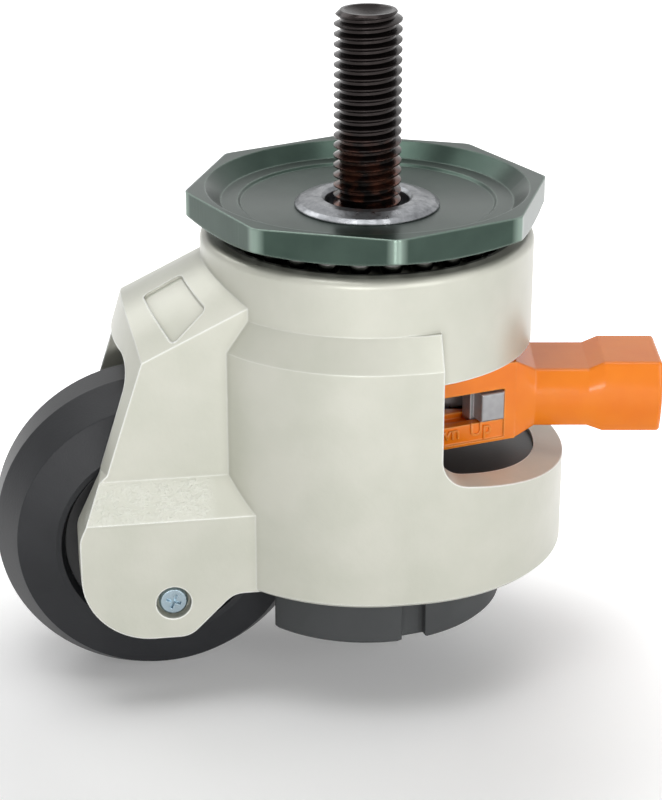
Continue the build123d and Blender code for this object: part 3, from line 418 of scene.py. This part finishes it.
def moulded(name, first, second, roughness, grain, depth, specular=0.4):
    """Rubber or plain plastic, clouded between two colours."""
    f = Finish(name)
    cloud = f.ramp(f.noise(8 * MM, detail=4.0), 0.3, 0.7)
    f.colour(f.blend(cloud, first, second))
    f.surface(f.noise(grain, roughness=0.6), depth, soft_edge=0.25 * MM)
    f.set(Roughness=roughness, Specular_IOR_Level=specular)
    return f.material


oxide = oxide_steel()
orange = orange_plastic()
bright_steel = steel("bright_steel", srgb(150, 150, 150), 0.3, grain=0.8 * MM, depth=0.004 * MM)
ball_steel = steel("ball_steel", srgb(88, 88, 86), 0.12)
zinc = steel("zinc", srgb(170, 188, 198), 0.27)
tyre_rubber = moulded("tyre_rubber", srgb(30, 31, 34), srgb(38, 39, 42),
                      roughness=0.42, grain=0.35 * MM, depth=0.02 * MM, specular=0.3)
hub_plastic = moulded("hub_plastic", srgb(34, 34, 35), srgb(40, 40, 41),
                      roughness=0.45, grain=0.5 * MM, depth=0.015 * MM)
pad_rubber = moulded("pad_rubber", srgb(58, 60, 61), srgb(65, 67, 68),
                     roughness=0.62, grain=0.3 * MM, depth=0.03 * MM)
black_cover = moulded("black_cover", srgb(38, 38, 38), srgb(44, 44, 44),
                      roughness=0.35, grain=0.6 * MM, depth=0.01 * MM)
washer_plastic = moulded("washer_plastic", srgb(45, 45, 45), srgb(52, 52, 52),
                         roughness=0.5, grain=0.4 * MM, depth=0.01 * MM)

FINISHES = {
    painted_casting(): ["housing"],
    plated_steel(): ["top_plate"],
    oxide: ["stem"],
    forged_steel(): ["kingpin", "kingpin_nut"],
    orange: ["lever", "lever_cover"],
    lacquered(): ["selector"],
    tyre_rubber: ["tyre"],
    hub_plastic: ["wheel_hub"],
    pad_rubber: ["foot_pad"],
    washer_plastic: ["lever_washer"],
    zinc: ["axle_screw_near", "axle_screw_far", "cover_screw_near", "cover_screw_far",
           "foot_screw"],
    ball_steel: ["balls"],
    black_cover: ["dust_cover"],
}
paint(nodes, bright_steel)
for material, names in FINISHES.items():
    paint(names, material)


# ---- threaded stem -------------------------------------------------------------------------
def lathe_rows(profile, around):
    """Points and faces of an outline of (radius, height) points turned round Z."""
    verts, faces = [], []
    for radius, height in profile:
        for step in range(around):
            angle = 2 * math.pi * step / around
            verts.append((radius * math.cos(angle), radius * math.sin(angle), height))
    for row in range(len(profile) - 1):
        for step in range(around):
            after = (step + 1) % around
            first, second = row * around + step, row * around + after
            faces.append((first, second, second + around, first + around))
    return verts, faces


def thread_rows(low, high, crest, around):
    """The thread's profile swept up its helix and cut off at two heights."""
    # on the near side, a quarter turn before the helix's start, a crest stands at FIRST_CREST
    start = FIRST_CREST - 0.75 * PITCH
    start -= PITCH * math.ceil((start - low) / PITCH + 1)
    steps = int((high - start) / PITCH + 1) * around
    verts, faces = [], []
    for step in range(steps + 1):
        angle = 2 * math.pi * step / around
        for rise, sink in THREAD_PROFILE:
            height = min(max(start + PITCH * (step / around + rise), low), high)
            radius = min(crest - sink * THREAD_DEPTH, crest - STEM_CHAMFER + (high - height))
            verts.append((radius * math.cos(angle), radius * math.sin(angle), height))
    across = len(THREAD_PROFILE)
    for step in range(steps):
        for place in range(across - 1):
            first = step * across + place
            faces.append((first, first + across, first + across + 1, first + 1))
    return verts, faces


def threaded_stem():
    low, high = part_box("stem")
    crest = high.x
    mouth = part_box("kingpin")[1].z - MOUTH_DEPTH
    verts, faces = thread_rows(mouth, high.z, crest, STEM_AROUND)
    end_r = crest - STEM_CHAMFER
    ring_r = end_r - END_RING
    end = [(end_r, high.z), (ring_r, high.z), (ring_r - LIP_WIDTH, high.z - LIP_DEPTH),
           (HOLE_R, high.z - HOLE_DEPTH), (0.0, high.z - HOLE_DEPTH)]
    shank = crest - RELIEF
    stub = [(crest, mouth), (shank, mouth), (shank, low.z + STEM_CHAMFER),
            (shank - STEM_CHAMFER, low.z), (0.0, low.z)]
    for profile in (end, stub):
        more_verts, more_faces = lathe_rows(profile, STEM_AROUND)
        shift = len(verts)
        verts += more_verts
        faces += [tuple(i + shift for i in face) for face in more_faces]
    obj = new_mesh("stem_thread", verts, faces)
    tidy_mesh(obj, MERGE)
    obj.data.set_sharp_from_angle(angle=SHARP_ANGLE)
    obj.data.materials.append(oxide)
    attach(obj, "mount")
    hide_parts("stem")


# ---- lever marks ---------------------------------------------------------------------------
def lever_side():
    """Frame of the head's near side: x along it, y up, z outwards."""
    turn = Matrix.Rotation(LEVER_ANGLE, 4, "Z")
    corner = (HEAD_R * math.sin(HEAD_TAPER), -HEAD_R * math.cos(HEAD_TAPER), 0)
    place = Matrix.Translation(corner)
    stand = Matrix.Rotation(math.radians(90), 4, "X")
    return turn @ place @ Matrix.Rotation(HEAD_TAPER, 4, "Z") @ stand


def mark(name, words, along):
    """A raised word on the side of the lever's head."""
    data = bpy.data.curves.new(name, "FONT")
    data.body = words
    data.size = MARK_SIZE
    data.extrude = EMBOSS / 2
    data.bevel_depth = MARK_ROUNDING
    data.bevel_resolution = 2
    data.align_x = "CENTER"
    text = bpy.data.objects.new(name + "_words", data)
    bpy.context.scene.collection.objects.link(text)
    graph = bpy.context.evaluated_depsgraph_get()
    mesh = bpy.data.meshes.new_from_object(text.evaluated_get(graph))
    bpy.data.objects.remove(text)
    obj = bpy.data.objects.new(name, mesh)
    bpy.context.scene.collection.objects.link(obj)
    place = Matrix.Translation((along, MARK_HEIGHT, EMBOSS / 2 - PANEL_DEPTH))
    obj.matrix_world = lever_side() @ place
    mesh.materials.clear()
    mesh.materials.append(orange)
    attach(obj, "lever")


threaded_stem()
for name, (words, along) in MARKS.items():
    mark(name, words, along)


# ---- camera, lamps, world and floor --------------------------------------------------------
def camera():
    data = bpy.data.cameras.new("camera")
    data.lens = LENS
    data.sensor_width = SENSOR
    data.clip_start = CLIP_START
    obj = bpy.data.objects.new("camera", data)
    right = Vector((math.cos(VIEW_YAW), -math.sin(VIEW_YAW), 0))
    forward = Vector((math.cos(VIEW_PITCH) * math.sin(VIEW_YAW),
                      math.cos(VIEW_PITCH) * math.cos(VIEW_YAW), -math.sin(VIEW_PITCH)))
    up = right.cross(forward)
    place = VIEW_RIGHT * right + VIEW_UP * up - VIEW_DISTANCE * forward
    axes = Matrix((right, up, -forward)).transposed()
    obj.matrix_world = Matrix.Translation(place) @ axes.to_4x4()
    bpy.context.scene.collection.objects.link(obj)
    bpy.context.scene.camera = obj


def softbox(name, azimuth, elevation, distance, width, height, power):
    """Area lamp aimed at the object."""
    data = bpy.data.lights.new(name, "AREA")
    data.shape = "RECTANGLE"
    data.size = width
    data.size_y = height
    data.energy = power
    obj = bpy.data.objects.new(name, data)
    a, e = math.radians(azimuth), math.radians(elevation)
    out = Vector((math.sin(a) * math.cos(e), -math.cos(a) * math.cos(e), math.sin(e)))
    obj.location = LAMP_AIM + distance * out
    obj.rotation_euler = out.to_track_quat("Z", "Y").to_euler()
    bpy.context.scene.collection.objects.link(obj)


def seen_level(tree, plain, seen):
    """A level that is "seen" for camera, glossy and transmission rays and "plain" for the rest."""
    path = tree.nodes.new("ShaderNodeLightPath")
    total = path.outputs["Is Camera Ray"]
    for name in ("Is Glossy Ray", "Is Transmission Ray"):
        node = tree.nodes.new("ShaderNodeMath")
        node.operation = "ADD"
        node.use_clamp = True
        tree.links.new(total, node.inputs[0])
        tree.links.new(path.outputs[name], node.inputs[1])
        total = node.outputs["Value"]
    level = tree.nodes.new("ShaderNodeMapRange")
    level.inputs["To Min"].default_value = plain
    level.inputs["To Max"].default_value = seen
    tree.links.new(total, level.inputs["Value"])
    return level.outputs["Result"]


def world():
    data = bpy.data.worlds.new("world")
    bpy.context.scene.world = data
    data.use_nodes = True
    tree = data.node_tree
    background = tree.nodes["Background"]
    background.inputs["Color"].default_value = WHITE
    tree.links.new(seen_level(tree, WORLD_LIGHT, 1.0), background.inputs["Strength"])


def floor():
    """Pale floor with a glow that is seen only, white far off and least under the object, where it
    paints a shadow.
    """
    low = min(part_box(name)[0].z for name in nodes)
    corners = [(-1, -1), (1, -1), (1, 1), (-1, 1)]
    obj = new_mesh("floor", [(FLOOR_HALF * x, FLOOR_HALF * y, 0) for x, y in corners],
                   [(0, 1, 2, 3)], smooth=False)
    obj.location = (*SHADE_CENTRE, low)
    f = Finish("floor")
    reach = f.add("ShaderNodeVectorMath", operation="LENGTH")
    f.join(f.place, reach.inputs[0])
    # the glow is weakest round SHADE_CENTRE: a painted shadow
    shadow_fade = f.ramp(reach.outputs["Value"], *SHADE_REACH, SHADE_GLOW, 1.0)
    shadow_fade.node.interpolation_type = "SMOOTHSTEP"
    glow = f.product(seen_level(f.tree, 0.0, 1.0), shadow_fade)
    f.join(glow, f.shader.inputs["Emission Strength"])
    f.set(Base_Color=FLOOR_COLOUR, Roughness=FLOOR_ROUGHNESS, Emission_Color=WHITE)
    obj.data.materials.append(f.material)


camera()
world()
floor()
for name, setting in LAMPS.items():
    softbox(name, *setting)

bpy.context.scene.view_settings.view_transform = "Standard"
